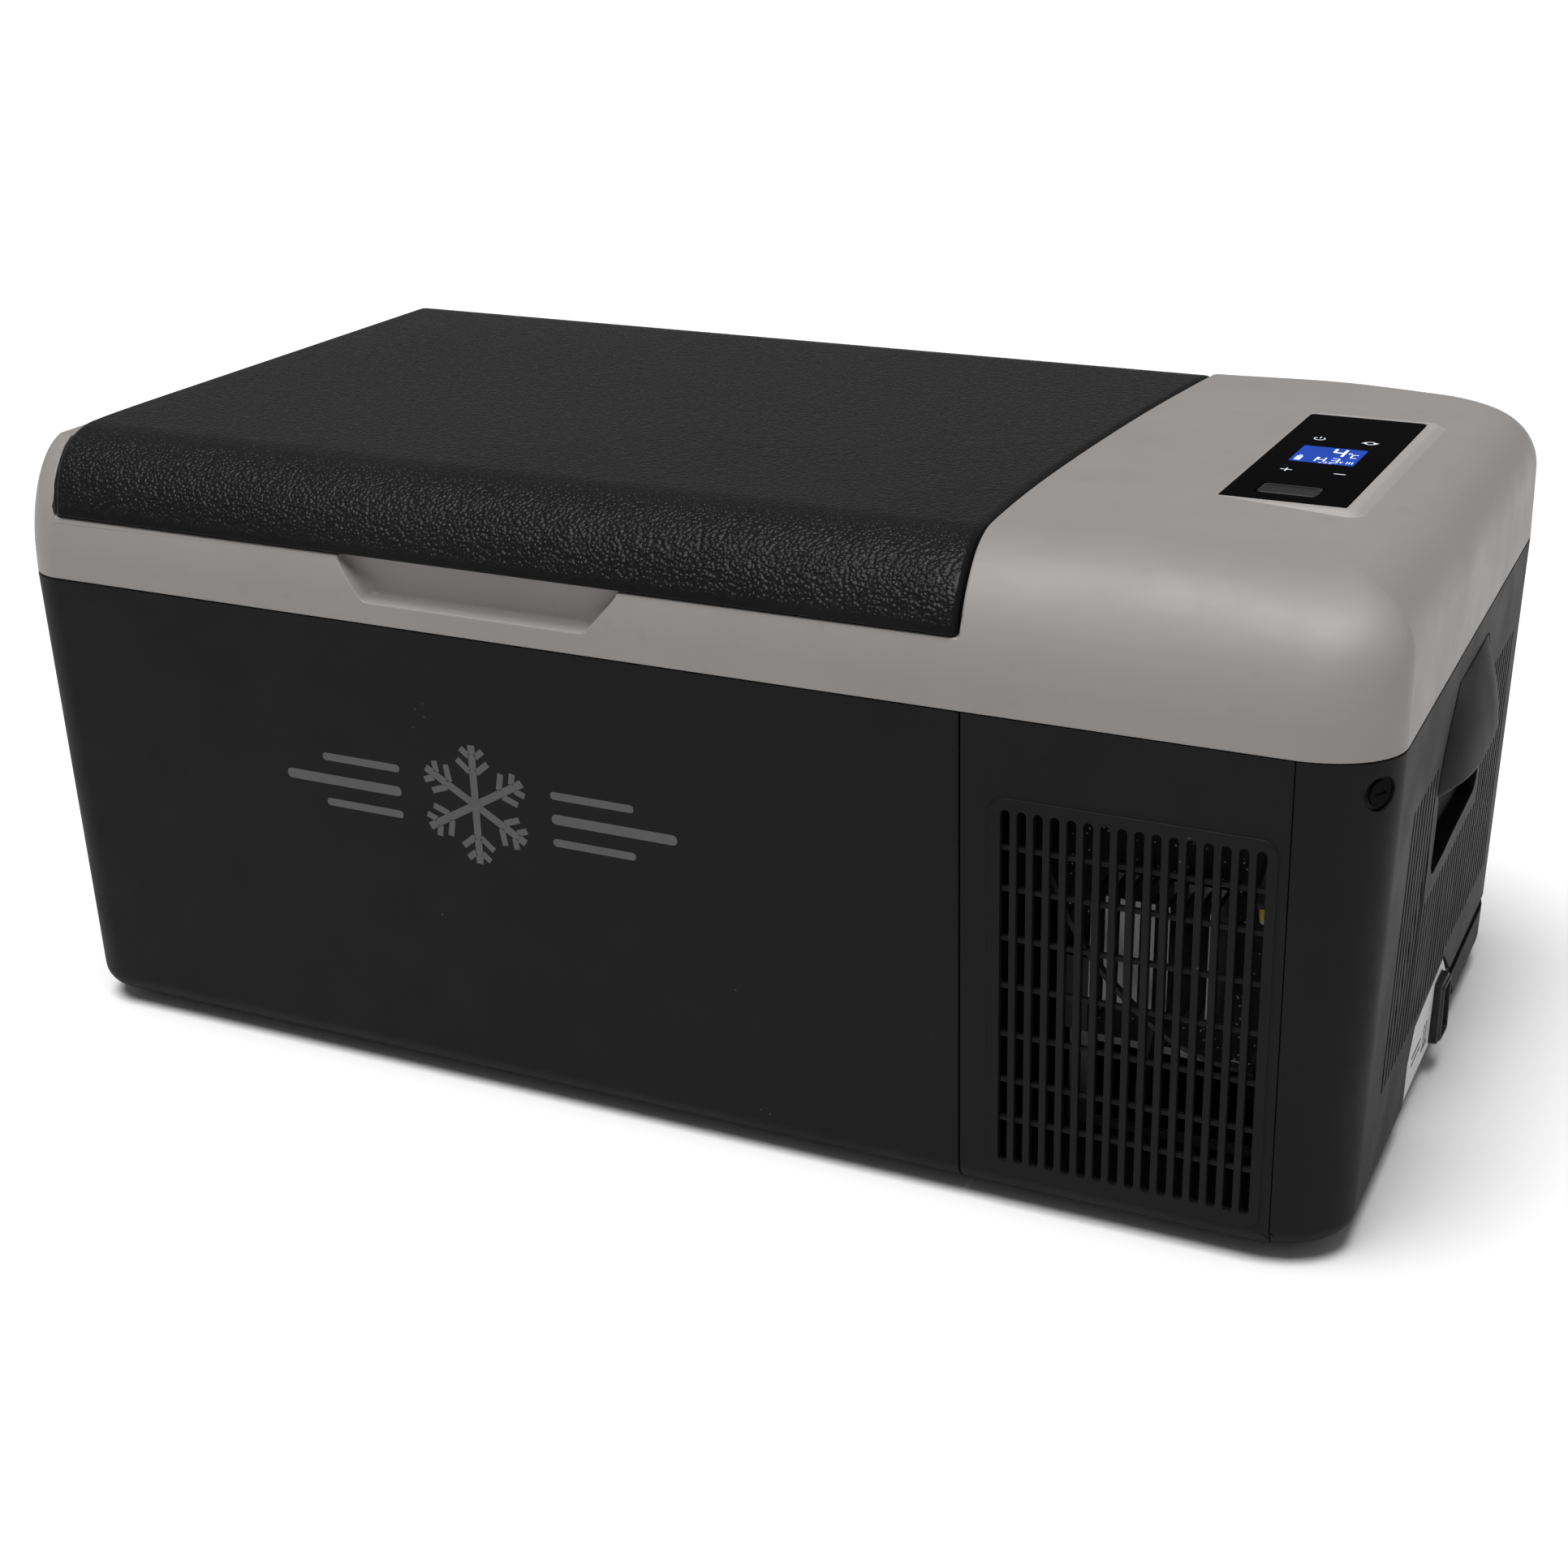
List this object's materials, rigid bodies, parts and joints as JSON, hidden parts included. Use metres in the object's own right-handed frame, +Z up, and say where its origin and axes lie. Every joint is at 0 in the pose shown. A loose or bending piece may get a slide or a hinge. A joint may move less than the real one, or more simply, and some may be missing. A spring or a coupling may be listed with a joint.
{
  "type": "compressor cooler fridge",
  "caption": "Portable compressor fridge: insulated food tub under a rear-hinged lid, vented machine compartment with a top display beside it, moulded end handles.",
  "frame": {"origin": "centre of the footprint, on the surface that the feet stand on", "axes": "+X along the fridge from the food tub to the machine compartment, front at -Y, +Z up"},
  "size_m": [0.5754, 0.322, 0.2508],
  "materials": {
    "black_housing": "black moulded plastic with a fine texture",
    "grey_frame": "warm mid-grey satin moulded plastic",
    "lid_black": "black plastic with a pebbled leather grain",
    "liner_grey": "light grey satin food-safe plastic",
    "foam": "rigid polyurethane foam",
    "aluminium": "bare sheet",
    "steel": "zinc plated",
    "compressor_black": "black enamel",
    "copper": "drawn copper",
    "rubber": "matt black",
    "glass_black": "glossy black touch panel",
    "screen_blue": "blue backlit display",
    "board_green": "printed circuit board",
    "label_grey": "light grey plate",
    "brass": "plated contact",
    "lens": "milky lens",
    "wire_black": "black plastic",
    "wire_yellow": "yellow and white insulation"
  },
  "bodies": {
    "cabinet": {"tub_housing": "black_housing", "side_panel": "black_housing", "front_grille_panel": "black_housing", "rear_grille_panel": "black_housing", "base_tray": "black_housing", "dc_socket": "black_housing", "dc_pin_lower": "brass", "dc_pin_upper": "brass", "inlet_label": "label_grey", "panel_screw_front": "steel", "panel_screw_rear": "steel", "top_frame": "grey_frame", "inner_tub": "liner_grey", "evaporator_sleeve": "aluminium", "tub_insulation": "foam", "interior_light": "lens", "hinge_pin_left": "steel", "hinge_pin_right": "steel", "display_glass": "glass_black", "lcd_module": "screen_blue", "display_board": "board_green", "usb_socket": "steel", "compressor_bracket": "steel", "isolator_1": "rubber", "isolator_2": "rubber", "isolator_3": "rubber", "isolator_4": "rubber", "compressor_shell_lower": "compressor_black", "compressor_shell_upper": "compressor_black", "terminal_cover": "compressor_black", "condenser_core": "aluminium", "condenser_tube": "copper", "fan_frame": "wire_black", "filter_drier": "copper", "suction_line": "copper", "capillary_tube": "copper", "discharge_line": "copper", "board_bracket": "steel", "control_board": "board_green", "board_heat_sink": "aluminium", "capacitor_block": "wire_black", "compressor_lead": "wire_black", "fan_lead": "wire_black", "dc_lead": "wire_black", "sensor_lead": "wire_black", "wire_conduit": "wire_black", "display_wires": "wire_yellow", "foot_front_left": "rubber", "foot_rear_left": "rubber", "foot_front_right": "rubber", "foot_rear_right": "rubber"},
    "lid": {"lid_shell": "lid_black", "lid_liner": "liner_grey", "lid_insulation": "foam", "lid_gasket": "rubber"},
    "fan": {"fan_rotor": "wire_black"},
    "usb_flap": {"usb_cover": "rubber"}
  },
  "joints": [
    {"name": "lid_hinge", "type": "hinge", "parent": "cabinet", "child": "lid", "pos_m": [-0.065, 0.1572, 0.2226], "axis": [-1, 0, 0], "range_deg": [0, 95]},
    {"name": "fan_spin", "type": "hinge", "parent": "cabinet", "child": "fan", "pos_m": [0.204, 0.13, 0.088], "axis": [0, 1, 0], "continuous": true},
    {"name": "usb_cover_hinge", "type": "hinge", "parent": "cabinet", "child": "usb_flap", "pos_m": [0.21625, -0.0319, 0.2505], "axis": [-1, 0, 0], "range_deg": [0, 100]}
  ]
}
